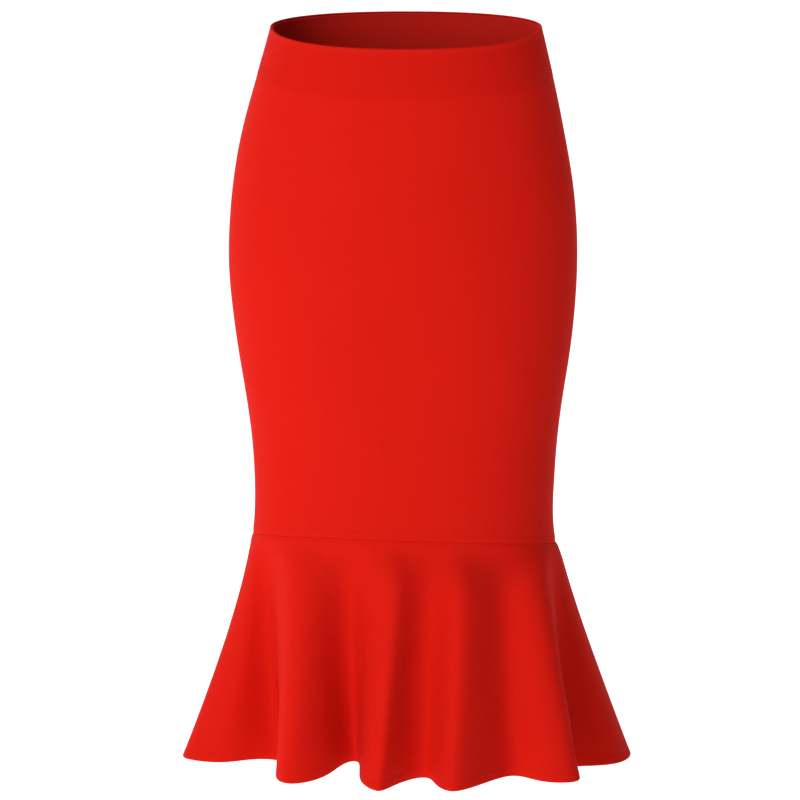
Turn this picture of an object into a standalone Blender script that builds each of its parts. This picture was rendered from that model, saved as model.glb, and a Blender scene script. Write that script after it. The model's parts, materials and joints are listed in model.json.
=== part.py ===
"""A mermaid skirt in a thick, plain knit, filled out as it is worn, hollow, open at the waist and at the hem.

A close body reaches from the waist to a seam round the knee. Under the seam hangs a flounce, cut as part of a
ring, so that its hem is about twice as long as the seam and falls in soft folds. A facing is turned in at
the waist. Every piece is a wall of cloth, made from one surface that runs right round the skirt.

Frame: metres, +Z up, the front faces -Y, the wearer's left is at +X. The origin is the middle of the waist.
"""

import math

import bmesh
import bpy
import numpy as np

# Cloth and sewing
CLOTH = 0.0015  # the knit's thickness
FACING_CLOTH = 0.0012
SEAM_GAP = 0.0003  # between two pieces that are sewn or lie together
FACING_DEPTH = 0.045
FACING_DROP = 0.0006  # the facing's fold sits this far under the waist edge

# Waist edge: level at the side seams 0, lower in front and higher behind
WAIST_FRONT_DIP = 0.0150
WAIST_BACK_RISE = 0.0058

# Knee seam: its level at each side, and how it runs between them
SEAM_LEVEL_LEFT = -0.4788
SEAM_LEVEL_RIGHT = -0.4878
SEAM_FRONT_RISE = 0.0122
SEAM_BACK_DROP = 0.0030

# Hem
HEM_LEVEL = -0.6927
HEM_FRONT = 0.110  # the hem's mean line, with its folds smoothed out
HEM_BACK = 0.124
HEM_SQUARENESS = 2.15
FLARE_LEFT = 1.26  # how late the flounce flares at each side: 1 is straight from the seam
FLARE_RIGHT = 1.08
KICK_LEFT = 0.0018  # how far it springs out sideways just under the seam
KICK_RIGHT = 0.0038
FOLD_SPREAD = 1.25  # the facets' rows lie closer together under the seam

# The body's sections, level by level. Distances are from the origin, squareness 2 is an ellipse.
BODY_COLUMNS = (
    "level",
    "left",
    "right",
    "front",
    "back",
    "front_squareness",
    "back_squareness",
)
BODY_SECTIONS = (
    (0.010, 0.1237, 0.1253, 0.0870, 0.0910, 2.20, 2.10),  # just over the waist edge
    (0.000, 0.1255, 0.1273, 0.0880, 0.0920, 2.20, 2.10),  # waist
    (-0.025, 0.1319, 0.1329, 0.0905, 0.0955, 2.20, 2.10),
    (-0.060, 0.1420, 0.1409, 0.0940, 0.1010, 2.18, 2.10),
    (-0.100, 0.1526, 0.1489, 0.0975, 0.1085, 2.15, 2.10),  # high hip
    (-0.145, 0.1605, 0.1567, 0.1005, 0.1160, 2.15, 2.10),
    (-0.190, 0.1645, 0.1608, 0.1025, 0.1200, 2.15, 2.10),
    (-0.225, 0.1649, 0.1613, 0.1035, 0.1205, 2.18, 2.12),  # hip
    (-0.265, 0.1616, 0.1592, 0.1040, 0.1180, 2.22, 2.15),
    (-0.305, 0.1562, 0.1549, 0.1040, 0.1135, 2.28, 2.20),
    (-0.350, 0.1488, 0.1480, 0.1035, 0.1080, 2.35, 2.25),  # thigh
    (-0.390, 0.1436, 0.1431, 0.1028, 0.1040, 2.40, 2.30),
    (-0.430, 0.1413, 0.1403, 0.1020, 0.1010, 2.42, 2.30),
    (-0.465, 0.1420, 0.1396, 0.1015, 0.0995, 2.42, 2.30),  # knee
    (-0.500, 0.1462, 0.1438, 0.1020, 0.0995, 2.42, 2.30),
)

# The hem's folds in plan. seam_share is where a fold's line meets the knee seam: 0 at the left side seam, 1 at
# the right one, through the front, and on to 2 through the back. hem_rise is over HEM_LEVEL. fold_start is the share
# of the flounce's depth over which the fold begins under the seam, and fold_growth the power that it then grows with:
# under 1, it is deep soon after it begins.
FOLD_COLUMNS = (
    "seam_share",
    "hem_x",
    "hem_y",
    "hem_rise",
    "fold_start",
    "fold_growth",
)
FOLDS = {
    "left_side": (0.000, -0.2105, 0.0000, 0.0000, 0.06, 0.70),
    "left_corner": (0.028, -0.2050, -0.0200, 0.0000, 0.06, 0.70),
    "left_panel_bulge": (0.062, -0.1755, -0.0370, 0.0000, 0.06, 0.70),
    "left_panel": (0.102, -0.1440, -0.0260, 0.0005, 0.06, 0.70),
    "left_valley": (0.152, -0.1150, -0.0245, -0.0030, 0.06, 0.72),
    "ridge_1_edge": (0.203, -0.1200, -0.0960, -0.0010, 0.07, 0.75),
    "ridge_1": (0.256, -0.1045, -0.1310, -0.0015, 0.08, 0.75),
    "ridge_1_flank": (0.302, -0.0745, -0.1110, 0.0012, 0.08, 0.75),
    "valley_1": (0.341, -0.0570, -0.0830, 0.0072, 0.08, 0.75),
    "valley_1_end": (0.372, -0.0450, -0.0770, 0.0080, 0.08, 0.75),
    "ridge_2_edge": (0.410, -0.0425, -0.1050, 0.0015, 0.08, 0.75),
    "ridge_2_turn": (0.450, -0.0382, -0.1390, -0.0010, 0.08, 0.75),
    "ridge_2": (0.488, -0.0230, -0.1585, -0.0028, 0.09, 0.70),
    "ridge_2_flank": (0.523, -0.0040, -0.1325, -0.0008, 0.12, 0.62),
    "valley_2": (0.553, 0.0155, -0.1180, 0.0015, 0.13, 0.60),
    "ridge_3_edge": (0.598, 0.0285, -0.1395, -0.0008, 0.12, 0.60),
    "ridge_3": (0.640, 0.0445, -0.1620, -0.0025, 0.11, 0.54),
    "ridge_3_flank": (0.680, 0.0695, -0.1420, -0.0005, 0.13, 0.50),
    "valley_3": (0.722, 0.0955, -0.1135, 0.0018, 0.14, 0.50),
    "ridge_4": (0.798, 0.1310, -0.1255, -0.0010, 0.08, 0.50),
    "ridge_4_edge": (0.858, 0.1625, -0.1130, -0.0004, 0.05, 0.52),
    "right_valley": (0.906, 0.1510, -0.0680, 0.0007, 0.05, 0.60),
    "right_panel": (0.950, 0.1850, -0.0505, 0.0000, 0.05, 0.70),
    "right_corner": (0.979, 0.2070, -0.0290, 0.0000, 0.05, 0.70),
    "right_side": (1.000, 0.2140, -0.0020, 0.0000, 0.05, 0.70),
    "back_corner_1": (1.045, 0.2020, 0.0330, 0.0000, 0.05, 0.70),
    "back_valley_1": (1.108, 0.1600, 0.0620, 0.0000, 0.05, 0.65),
    "back_ridge_1": (1.180, 0.1390, 0.1170, 0.0000, 0.05, 0.60),
    "back_valley_2": (1.245, 0.1000, 0.0880, 0.0020, 0.08, 0.60),
    "back_ridge_2_edge": (1.289, 0.0885, 0.1200, 0.0000, 0.08, 0.65),
    "back_ridge_2": (1.340, 0.0680, 0.1550, 0.0000, 0.08, 0.70),
    "back_ridge_2_flank": (1.395, 0.0410, 0.1250, 0.0000, 0.10, 0.70),
    "back_valley_3": (1.434, 0.0210, 0.1050, 0.0010, 0.12, 0.68),
    "back_ridge_3_edge": (1.480, 0.0095, 0.1380, 0.0000, 0.10, 0.62),
    "back_ridge_3": (1.527, -0.0130, 0.1640, 0.0000, 0.08, 0.58),
    "back_ridge_3_flank": (1.585, -0.0370, 0.1260, 0.0000, 0.08, 0.60),
    "back_valley_4": (1.625, -0.0530, 0.1000, 0.0020, 0.08, 0.62),
    "back_ridge_4_edge": (1.670, -0.0670, 0.1300, 0.0000, 0.08, 0.66),
    "back_ridge_4": (1.715, -0.0880, 0.1550, 0.0000, 0.08, 0.70),
    "back_ridge_4_flank": (1.765, -0.1080, 0.1250, 0.0000, 0.10, 0.72),
    "back_valley_5": (1.800, -0.1220, 0.1000, 0.0010, 0.10, 0.70),
    "back_ridge_5": (1.845, -0.1550, 0.1130, 0.0000, 0.08, 0.68),
    "back_ridge_5_flank": (1.890, -0.1700, 0.0800, 0.0000, 0.06, 0.66),
    "back_valley_6": (1.935, -0.1820, 0.0440, 0.0000, 0.06, 0.68),
    "back_corner_2": (1.972, -0.2035, 0.0210, 0.0000, 0.06, 0.70),
}

# Facets
BODY_STEPS_ROUND = 24  # on each half
BODY_STEPS_DOWN = 18  # under the facing
FACING_STEPS_DOWN = 2
FLOUNCE_STEPS_ROUND = 64  # on each half
FLOUNCE_STEPS_DOWN = 7
ARC_SAMPLES = 241

RED = (0.70, 0.020, 0.009, 1.0)
RED_INSIDE = (0.42, 0.012, 0.007, 1.0)


class Curve:
    """A smooth cubic curve through rows of values, with free ends or, with a period, closed on itself."""

    def __init__(self, knots, values, period=None):
        self.knots, self.values = np.asarray(knots, float), np.asarray(values, float)
        self.period, self.count = period, len(knots)
        count, closed = self.count, period is not None
        ends = np.append(self.knots, self.knots[0] + period) if closed else self.knots
        self.steps = np.diff(ends)
        rises = np.roll(self.values, -1, axis=0) - self.values
        slopes = rises[: len(self.steps)] / self.steps[:, None]
        matrix, right = np.zeros((count, count)), np.zeros_like(self.values)
        for i in range(count):
            if not closed and i in (0, count - 1):
                matrix[i, i] = 1
                continue
            matrix[i, i - 1] += self.steps[i - 1]
            matrix[i, i] += 2 * (self.steps[i - 1] + self.steps[i])
            matrix[i, (i + 1) % count] += self.steps[i]
            right[i] = 6 * (slopes[i] - slopes[i - 1])
        self.bends = np.linalg.solve(matrix, right)

    def at(self, place):
        if self.period is not None:
            place = (place - self.knots[0]) % self.period + self.knots[0]
        i = int(np.searchsorted(self.knots, place, side="right")) - 1
        i = min(max(i, 0), len(self.steps) - 1)
        j, step = (i + 1) % self.count, self.steps[i]
        past, left = place - self.knots[i], self.knots[i] + step - place
        return (
            (self.bends[i] * left**3 + self.bends[j] * past**3) / (6 * step)
            + (self.values[i] / step - self.bends[i] * step / 6) * left
            + (self.values[j] / step - self.bends[j] * step / 6) * past
        )


BODY = Curve(
    [row[0] for row in reversed(BODY_SECTIONS)],
    [row[1:] for row in reversed(BODY_SECTIONS)],
)
HEM = Curve(
    [row[0] for row in FOLDS.values()], [row[1:] for row in FOLDS.values()], period=2
)


def mix(a, b, share):
    return a + (b - a) * share


def frontness(share):
    """1 at the middle of the front, 0 at the side seams, -1 at the middle of the back."""
    return math.sin(math.pi * share)


def rightness(share):
    """-1 at the left side seam, 1 at the right one."""
    return -math.cos(math.pi * share)


def dipped(share):
    """frontness, flatter in the middle, as a taut edge lies."""
    middle = frontness(share)
    return middle * (1.25 - 0.25 * middle * middle)


def waist_level(share):
    dip = dipped(share)
    return -WAIST_FRONT_DIP * dip if dip > 0 else -WAIST_BACK_RISE * dip


def seam_level(share):
    dip = dipped(share)
    sides = mix(SEAM_LEVEL_LEFT, SEAM_LEVEL_RIGHT, (1 + rightness(share)) / 2)
    return sides + (SEAM_FRONT_RISE if dip > 0 else SEAM_BACK_DROP) * dip


def section(level):
    """The body's measures at a level, by the names of their columns."""
    return dict(zip(BODY_COLUMNS[1:], BODY.at(level)))


def round_point(left, right, front, back, front_squareness, back_squareness, share):
    """A point of a rounded ring, at a share of the length of its front half or its back half."""
    in_front = share % 2 <= 1
    depth = -front if in_front else back
    squareness = front_squareness if in_front else back_squareness
    turn = np.linspace(-math.pi / 2, math.pi / 2, ARC_SAMPLES)
    reach = (
        np.abs(np.sin(turn)) ** squareness + np.abs(np.cos(turn)) ** squareness
    ) ** (-1 / squareness)
    x = (right - left) / 2 + (right + left) / 2 * np.sin(turn) * reach
    y = depth * np.cos(turn) * reach
    length = np.concatenate(([0], np.cumsum(np.hypot(np.diff(x), np.diff(y)))))
    along = share % 2 if in_front else 2 - share % 2
    return np.array(
        [
            np.interp(along * length[-1], length, x),
            np.interp(along * length[-1], length, y),
        ]
    )


def body_point(share, level):
    x, y = round_point(**section(level), share=share)
    return np.array([x, y, level])


def hem_point(share):
    """The hem with its folds."""
    x, y, rise, _, _ = HEM.at(share)
    return np.array([x, y, HEM_LEVEL + rise])


def mean_hem_point(share):
    """The hem with its folds smoothed out."""
    x, y = round_point(
        -FOLDS["left_side"][1],
        FOLDS["right_side"][1],
        HEM_FRONT,
        HEM_BACK,
        HEM_SQUARENESS,
        HEM_SQUARENESS,
        share,
    )
    return np.array([x, y, HEM_LEVEL])


def flounce_point(share, down):
    """A point of the flounce, with down 0 at the seam and 1 at the hem."""
    seam = body_point(share, seam_level(share))
    mean, hem = mean_hem_point(share), hem_point(share)
    flare = down ** mix(FLARE_LEFT, FLARE_RIGHT, (1 + rightness(share)) / 2)
    fold_start, fold_growth = HEM.at(share)[3:]
    begun = 1 - math.exp(-((down / fold_start) ** 2))
    fold = (hem[1] - mean[1]) * down**fold_growth * begun
    side = rightness(share)
    kick = (KICK_RIGHT if side > 0 else -KICK_LEFT) * side**4
    spring = (1 - math.exp(-down / 0.045)) * math.exp(-down / 0.20)
    return np.array(
        [
            mix(seam[0], hem[0], flare) + kick * spring,
            mix(seam[1], mean[1], flare) + fold,
            mix(seam[2], hem[2], down),
        ]
    )


def inward(surface, share, down):
    """The level direction into the cloth from its outer face."""
    step = 1e-4
    ahead, behind = surface(share + step, down), surface(share - step, down)
    along = (ahead - behind)[:2]
    return np.array([-along[1], along[0], 0.0]) / np.linalg.norm(along)


def cloth_wall(name, surface, shares, downs, thickness, colour, inset=0.0):
    """A wall of cloth under a surface: its outer face lies inset below the surface."""
    bm = bmesh.new()
    bmesh.ops.create_grid(
        bm, x_segments=len(shares) - 1, y_segments=len(downs) - 1, size=0.5
    )
    outer = list(bm.verts)
    grown = bmesh.ops.extrude_face_region(bm, geom=bm.faces[:])
    inner = [item for item in grown["geom"] if isinstance(item, bmesh.types.BMVert)]
    steps_round, steps_down = len(shares) - 1, len(downs) - 1
    for verts, depth in ((outer, inset), (inner, inset + thickness)):
        for vert in verts:
            share = shares[round((vert.co.x + 0.5) * steps_round)]
            down = downs[round((0.5 - vert.co.y) * steps_down)]
            vert.co = surface(share, down) + inward(surface, share, down) * depth
    bmesh.ops.recalc_face_normals(bm, faces=bm.faces[:])
    mesh = bpy.data.meshes.new(name)
    bm.to_mesh(mesh)
    bm.free()
    mesh.shade_smooth()
    mesh.set_sharp_from_angle(angle=math.radians(50))
    material = bpy.data.materials.new(name)
    material.use_nodes = True
    shader = material.node_tree.nodes["Principled BSDF"]
    shader.inputs["Base Color"].default_value = colour
    shader.inputs["Roughness"].default_value = 0.85
    shader.inputs["Metallic"].default_value = 0.0
    mesh.materials.append(material)
    piece = bpy.data.objects.new(name, mesh)
    collection.objects.link(piece)
    return piece


def body_surface(share, down):
    """down is 0 at the waist edge, 1 at the facing's lower edge and 2 just over the knee seam."""
    top = waist_level(share)
    if down <= 1:
        return body_point(share, top - FACING_DEPTH * down)
    return body_point(
        share, mix(top - FACING_DEPTH, seam_level(share) + SEAM_GAP / 2, down - 1)
    )


def flounce_surface(share, down):
    """down is 0 just under the knee seam and 1 at the hem."""
    start = SEAM_GAP / 2 / (SEAM_LEVEL_LEFT - HEM_LEVEL)
    return flounce_point(share, mix(start, 1, down))


for old in list(bpy.data.objects):
    bpy.data.objects.remove(old, do_unlink=True)
collection = bpy.data.collections.new("mermaid_skirt")
bpy.context.scene.collection.children.link(collection)

SEAM_HALF_LENGTH = 0.39  # of the knee seam, front or back, where a share of 1 is shortest
SIDE_GAP = SEAM_GAP / 2 / SEAM_HALF_LENGTH
body_downs = [i / FACING_STEPS_DOWN for i in range(FACING_STEPS_DOWN)]
body_downs += [1 + i / BODY_STEPS_DOWN for i in range(BODY_STEPS_DOWN + 1)]
facing_downs = [i / FACING_STEPS_DOWN for i in range(FACING_STEPS_DOWN + 1)]
facing_downs[0] = FACING_DROP / FACING_DEPTH
flounce_downs = [
    (i / FLOUNCE_STEPS_DOWN) ** FOLD_SPREAD for i in range(FLOUNCE_STEPS_DOWN + 1)
]

for half, start in (("front", 0.0), ("back", 1.0)):
    body_shares = np.linspace(
        start + SIDE_GAP, start + 1 - SIDE_GAP, BODY_STEPS_ROUND + 1
    )
    flounce_shares = np.linspace(
        start + SIDE_GAP, start + 1 - SIDE_GAP, FLOUNCE_STEPS_ROUND + 1
    )
    cloth_wall("body_" + half, body_surface, body_shares, body_downs, CLOTH, RED)
    cloth_wall(
        "flounce_" + half, flounce_surface, flounce_shares, flounce_downs, CLOTH, RED
    )
    cloth_wall(
        "waist_facing_" + half,
        body_surface,
        body_shares,
        facing_downs,
        FACING_CLOTH,
        RED_INSIDE,
        inset=CLOTH + SEAM_GAP,
    )
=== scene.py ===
"""The looks of a red mermaid skirt in a smooth double knit, filled out as it is worn and hollow.

Every visible piece is a closed wall of cloth, made from one surface that runs right round the skirt, with its own
rounded edges, seam grooves, turned hem and seam allowances. Lengths are in metres; the front faces -Y.
"""

import sys
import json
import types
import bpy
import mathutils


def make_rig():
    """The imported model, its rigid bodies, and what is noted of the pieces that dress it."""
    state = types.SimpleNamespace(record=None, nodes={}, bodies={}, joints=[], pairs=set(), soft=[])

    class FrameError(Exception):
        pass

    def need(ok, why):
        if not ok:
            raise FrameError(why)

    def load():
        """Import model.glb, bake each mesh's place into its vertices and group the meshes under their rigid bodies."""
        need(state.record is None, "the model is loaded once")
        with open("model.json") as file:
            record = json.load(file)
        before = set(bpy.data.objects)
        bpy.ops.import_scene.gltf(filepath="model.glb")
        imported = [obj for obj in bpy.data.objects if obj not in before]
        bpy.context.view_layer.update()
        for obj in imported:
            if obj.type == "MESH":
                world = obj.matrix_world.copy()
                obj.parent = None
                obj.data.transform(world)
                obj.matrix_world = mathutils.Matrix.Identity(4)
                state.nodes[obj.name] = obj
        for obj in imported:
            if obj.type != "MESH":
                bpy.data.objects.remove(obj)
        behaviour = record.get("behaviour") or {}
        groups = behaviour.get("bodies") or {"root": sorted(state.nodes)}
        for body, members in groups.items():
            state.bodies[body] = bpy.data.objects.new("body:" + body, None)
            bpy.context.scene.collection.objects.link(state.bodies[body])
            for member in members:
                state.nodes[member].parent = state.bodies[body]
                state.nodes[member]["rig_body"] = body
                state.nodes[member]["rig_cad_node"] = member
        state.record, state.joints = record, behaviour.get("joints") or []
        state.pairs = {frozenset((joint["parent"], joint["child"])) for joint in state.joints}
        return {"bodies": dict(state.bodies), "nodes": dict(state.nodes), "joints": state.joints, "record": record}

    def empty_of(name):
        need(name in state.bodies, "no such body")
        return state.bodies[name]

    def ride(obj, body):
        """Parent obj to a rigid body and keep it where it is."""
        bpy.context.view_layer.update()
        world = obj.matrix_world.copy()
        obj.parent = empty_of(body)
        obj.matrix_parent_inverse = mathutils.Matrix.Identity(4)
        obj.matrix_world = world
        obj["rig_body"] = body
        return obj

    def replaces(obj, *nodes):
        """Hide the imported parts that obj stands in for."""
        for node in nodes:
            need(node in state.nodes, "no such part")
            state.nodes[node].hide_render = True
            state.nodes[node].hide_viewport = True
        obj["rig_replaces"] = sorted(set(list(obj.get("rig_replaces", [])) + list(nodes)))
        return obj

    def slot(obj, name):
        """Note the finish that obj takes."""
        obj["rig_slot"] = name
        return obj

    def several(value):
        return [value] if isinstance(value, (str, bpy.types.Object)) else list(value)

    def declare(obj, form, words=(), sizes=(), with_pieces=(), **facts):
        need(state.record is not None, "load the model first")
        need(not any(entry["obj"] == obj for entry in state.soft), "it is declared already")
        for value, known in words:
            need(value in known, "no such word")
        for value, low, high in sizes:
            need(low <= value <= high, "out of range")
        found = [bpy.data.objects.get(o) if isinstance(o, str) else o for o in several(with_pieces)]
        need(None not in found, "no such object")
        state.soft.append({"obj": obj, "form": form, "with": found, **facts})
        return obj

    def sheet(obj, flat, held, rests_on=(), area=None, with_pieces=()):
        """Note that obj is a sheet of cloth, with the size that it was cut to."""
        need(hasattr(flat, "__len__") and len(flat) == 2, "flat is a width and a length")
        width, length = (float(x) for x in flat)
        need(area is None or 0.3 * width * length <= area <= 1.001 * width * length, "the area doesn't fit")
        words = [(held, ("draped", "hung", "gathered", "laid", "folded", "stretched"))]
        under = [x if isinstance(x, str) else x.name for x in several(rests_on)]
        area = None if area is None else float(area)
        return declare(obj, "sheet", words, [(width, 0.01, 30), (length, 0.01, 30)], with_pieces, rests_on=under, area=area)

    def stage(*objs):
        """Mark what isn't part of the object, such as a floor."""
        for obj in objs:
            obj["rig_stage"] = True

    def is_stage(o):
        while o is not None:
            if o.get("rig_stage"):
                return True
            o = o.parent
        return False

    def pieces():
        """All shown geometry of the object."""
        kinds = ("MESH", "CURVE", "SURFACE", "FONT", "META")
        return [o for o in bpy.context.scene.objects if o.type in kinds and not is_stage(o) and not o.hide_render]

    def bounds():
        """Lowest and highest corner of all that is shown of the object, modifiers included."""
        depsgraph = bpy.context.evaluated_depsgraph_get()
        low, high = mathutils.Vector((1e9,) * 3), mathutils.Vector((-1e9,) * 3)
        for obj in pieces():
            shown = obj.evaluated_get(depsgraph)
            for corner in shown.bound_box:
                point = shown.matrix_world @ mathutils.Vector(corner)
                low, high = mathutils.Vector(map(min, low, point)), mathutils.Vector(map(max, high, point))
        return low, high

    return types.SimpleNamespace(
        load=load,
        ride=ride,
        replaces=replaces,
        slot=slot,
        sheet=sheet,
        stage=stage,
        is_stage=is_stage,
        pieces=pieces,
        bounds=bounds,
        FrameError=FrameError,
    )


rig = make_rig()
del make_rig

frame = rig.load()
cad_low, cad_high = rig.bounds()

import json
import math

import bpy
import numpy as np
from mathutils import Vector

# ---------------------------------------------------------------- sizes of the cut, as in the frame

CLOTH = 0.0015
FACING_CLOTH = 0.0011
FACING_DEPTH = 0.045
WAIST_FRONT_DIP, WAIST_BACK_RISE = 0.0150, 0.0058
SEAM_LEVEL_LEFT, SEAM_LEVEL_RIGHT = -0.4788, -0.4878
SEAM_FRONT_RISE, SEAM_BACK_DROP = 0.0122, 0.0030
HEM_LEVEL = -0.6927
HEM_FRONT, HEM_BACK, HEM_SQUARENESS = 0.110, 0.124, 2.15
FLARE_LEFT, FLARE_RIGHT = 1.26, 1.08
KICK_LEFT, KICK_RIGHT = 0.0018, 0.0038  # how far the flounce springs out sideways just under the seam
HEM_TURN = 0.0095  # the turned-up hem
ALLOWANCE = 0.0085  # the seam allowances inside
ROLL = 0.0017  # outer radius of the waist's rolled edge
EDGE_RADIUS = 0.0004  # how sharply the cloth's cut edges turn

# level, left, right, front, back, front squareness, back squareness
BODY_SECTIONS = (
    (0.010, 0.1237, 0.1253, 0.0870, 0.0910, 2.20, 2.10),
    (0.000, 0.1255, 0.1273, 0.0880, 0.0920, 2.20, 2.10),
    (-0.025, 0.1319, 0.1329, 0.0905, 0.0955, 2.20, 2.10),
    (-0.060, 0.1420, 0.1409, 0.0940, 0.1010, 2.18, 2.10),
    (-0.100, 0.1526, 0.1489, 0.0975, 0.1085, 2.15, 2.10),
    (-0.145, 0.1605, 0.1567, 0.1005, 0.1160, 2.15, 2.10),
    (-0.190, 0.1645, 0.1608, 0.1025, 0.1200, 2.15, 2.10),
    (-0.225, 0.1649, 0.1613, 0.1035, 0.1205, 2.18, 2.12),
    (-0.265, 0.1616, 0.1592, 0.1040, 0.1180, 2.22, 2.15),
    (-0.305, 0.1562, 0.1549, 0.1040, 0.1135, 2.28, 2.20),
    (-0.350, 0.1488, 0.1480, 0.1035, 0.1080, 2.35, 2.25),
    (-0.390, 0.1436, 0.1431, 0.1028, 0.1040, 2.40, 2.30),
    (-0.430, 0.1413, 0.1403, 0.1020, 0.1010, 2.42, 2.30),
    (-0.465, 0.1420, 0.1396, 0.1015, 0.0995, 2.42, 2.30),
    (-0.500, 0.1462, 0.1438, 0.1020, 0.0995, 2.42, 2.30),
)

# The hem's folds in plan: seam share (0 left side, 1 right side, on to 2 through the back), hem x, hem y, hem rise, and
# for each fold the share of the depth where it starts and the power it grows with (under 1: deep soon after its start)
FOLDS = {
    "left_side": (0.000, -0.2105, 0.0000, 0.0000, 0.06, 0.70),
    "left_corner": (0.028, -0.2050, -0.0200, 0.0000, 0.06, 0.70),
    "left_panel_bulge": (0.062, -0.1755, -0.0370, 0.0000, 0.06, 0.70),
    "left_panel": (0.102, -0.1440, -0.0260, 0.0005, 0.06, 0.70),
    "left_valley": (0.152, -0.1150, -0.0245, -0.0030, 0.06, 0.72),
    "ridge_1_edge": (0.203, -0.1200, -0.0960, -0.0010, 0.07, 0.75),
    "ridge_1": (0.256, -0.1045, -0.1310, -0.0015, 0.08, 0.75),
    "ridge_1_flank": (0.302, -0.0745, -0.1110, 0.0012, 0.08, 0.75),
    "valley_1": (0.341, -0.0570, -0.0830, 0.0072, 0.08, 0.75),
    "valley_1_end": (0.372, -0.0450, -0.0770, 0.0080, 0.08, 0.75),
    "ridge_2_edge": (0.410, -0.0425, -0.1050, 0.0015, 0.08, 0.75),
    "ridge_2_turn": (0.450, -0.0382, -0.1390, -0.0010, 0.08, 0.75),
    "ridge_2": (0.488, -0.0230, -0.1585, -0.0028, 0.09, 0.70),
    "ridge_2_flank": (0.523, -0.0040, -0.1325, -0.0008, 0.12, 0.62),
    "valley_2": (0.553, 0.0155, -0.1180, 0.0015, 0.13, 0.60),
    "ridge_3_edge": (0.598, 0.0285, -0.1395, -0.0008, 0.12, 0.60),
    "ridge_3": (0.640, 0.0445, -0.1620, -0.0025, 0.11, 0.54),
    "ridge_3_flank": (0.680, 0.0695, -0.1420, -0.0005, 0.13, 0.50),
    "valley_3": (0.722, 0.0955, -0.1135, 0.0018, 0.14, 0.50),
    "ridge_4": (0.798, 0.1310, -0.1255, -0.0010, 0.08, 0.50),
    "ridge_4_edge": (0.858, 0.1625, -0.1130, -0.0004, 0.05, 0.52),
    "right_valley": (0.906, 0.1510, -0.0680, 0.0007, 0.05, 0.60),
    "right_panel": (0.950, 0.1850, -0.0505, 0.0000, 0.05, 0.70),
    "right_corner": (0.979, 0.2070, -0.0290, 0.0000, 0.05, 0.70),
    "right_side": (1.000, 0.2140, -0.0020, 0.0000, 0.05, 0.70),
    "back_corner_1": (1.045, 0.2020, 0.0330, 0.0000, 0.05, 0.70),
    "back_valley_1": (1.108, 0.1600, 0.0620, 0.0000, 0.05, 0.65),
    "back_ridge_1": (1.180, 0.1390, 0.1170, 0.0000, 0.05, 0.60),
    "back_valley_2": (1.245, 0.1000, 0.0880, 0.0020, 0.08, 0.60),
    "back_ridge_2_edge": (1.289, 0.0885, 0.1200, 0.0000, 0.08, 0.65),
    "back_ridge_2": (1.340, 0.0680, 0.1550, 0.0000, 0.08, 0.70),
    "back_ridge_2_flank": (1.395, 0.0410, 0.1250, 0.0000, 0.10, 0.70),
    "back_valley_3": (1.434, 0.0210, 0.1050, 0.0010, 0.12, 0.68),
    "back_ridge_3_edge": (1.480, 0.0095, 0.1380, 0.0000, 0.10, 0.62),
    "back_ridge_3": (1.527, -0.0130, 0.1640, 0.0000, 0.08, 0.58),
    "back_ridge_3_flank": (1.585, -0.0370, 0.1260, 0.0000, 0.08, 0.60),
    "back_valley_4": (1.625, -0.0530, 0.1000, 0.0020, 0.08, 0.62),
    "back_ridge_4_edge": (1.670, -0.0670, 0.1300, 0.0000, 0.08, 0.66),
    "back_ridge_4": (1.715, -0.0880, 0.1550, 0.0000, 0.08, 0.70),
    "back_ridge_4_flank": (1.765, -0.1080, 0.1250, 0.0000, 0.10, 0.72),
    "back_valley_5": (1.800, -0.1220, 0.1000, 0.0010, 0.10, 0.70),
    "back_ridge_5": (1.845, -0.1550, 0.1130, 0.0000, 0.08, 0.68),
    "back_ridge_5_flank": (1.890, -0.1700, 0.0800, 0.0000, 0.06, 0.66),
    "back_valley_6": (1.935, -0.1820, 0.0440, 0.0000, 0.06, 0.68),
    "back_corner_2": (1.972, -0.2035, 0.0210, 0.0000, 0.06, 0.70),
}


class Curve:
    """A smooth cubic curve through rows of values, read at many places at once."""

    def __init__(self, knots, values, period=None):
        self.knots, self.values = np.asarray(knots, float), np.asarray(values, float)
        self.period, self.count = period, len(knots)
        count, closed = self.count, period is not None
        ends = np.append(self.knots, self.knots[0] + period) if closed else self.knots
        self.steps = np.diff(ends)
        rises = np.roll(self.values, -1, axis=0) - self.values
        slopes = rises[: len(self.steps)] / self.steps[:, None]
        matrix, right = np.zeros((count, count)), np.zeros_like(self.values)
        for i in range(count):
            if not closed and i in (0, count - 1):
                matrix[i, i] = 1
                continue
            matrix[i, i - 1] += self.steps[i - 1]
            matrix[i, i] += 2 * (self.steps[i - 1] + self.steps[i])
            matrix[i, (i + 1) % count] += self.steps[i]
            right[i] = 6 * (slopes[i] - slopes[i - 1])
        self.bends = np.linalg.solve(matrix, right)

    def at(self, places):
        places = np.asarray(places, float)
        if self.period is not None:
            places = (places - self.knots[0]) % self.period + self.knots[0]
        i = np.clip(np.searchsorted(self.knots, places, side="right") - 1, 0, len(self.steps) - 1)
        j, step = (i + 1) % self.count, self.steps[i][..., None]
        past = (places - self.knots[i])[..., None]
        left = step - past
        return (
            (self.bends[i] * left**3 + self.bends[j] * past**3) / (6 * step)
            + (self.values[i] / step - self.bends[i] * step / 6) * left
            + (self.values[j] / step - self.bends[j] * step / 6) * past
        )


BODY = Curve([r[0] for r in BODY_SECTIONS[::-1]], [r[1:] for r in BODY_SECTIONS[::-1]])
HEM = Curve([r[0] for r in FOLDS.values()], [r[1:] for r in FOLDS.values()], period=2)


def mix(a, b, share):
    return a + (b - a) * share


def smooth(x, low, high):
    t = np.clip((x - low) / (high - low), 0, 1)
    return t * t * (3 - 2 * t)


def bump(x, middle, width):
    return np.exp(-(((x - middle) / width) ** 2))


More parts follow.
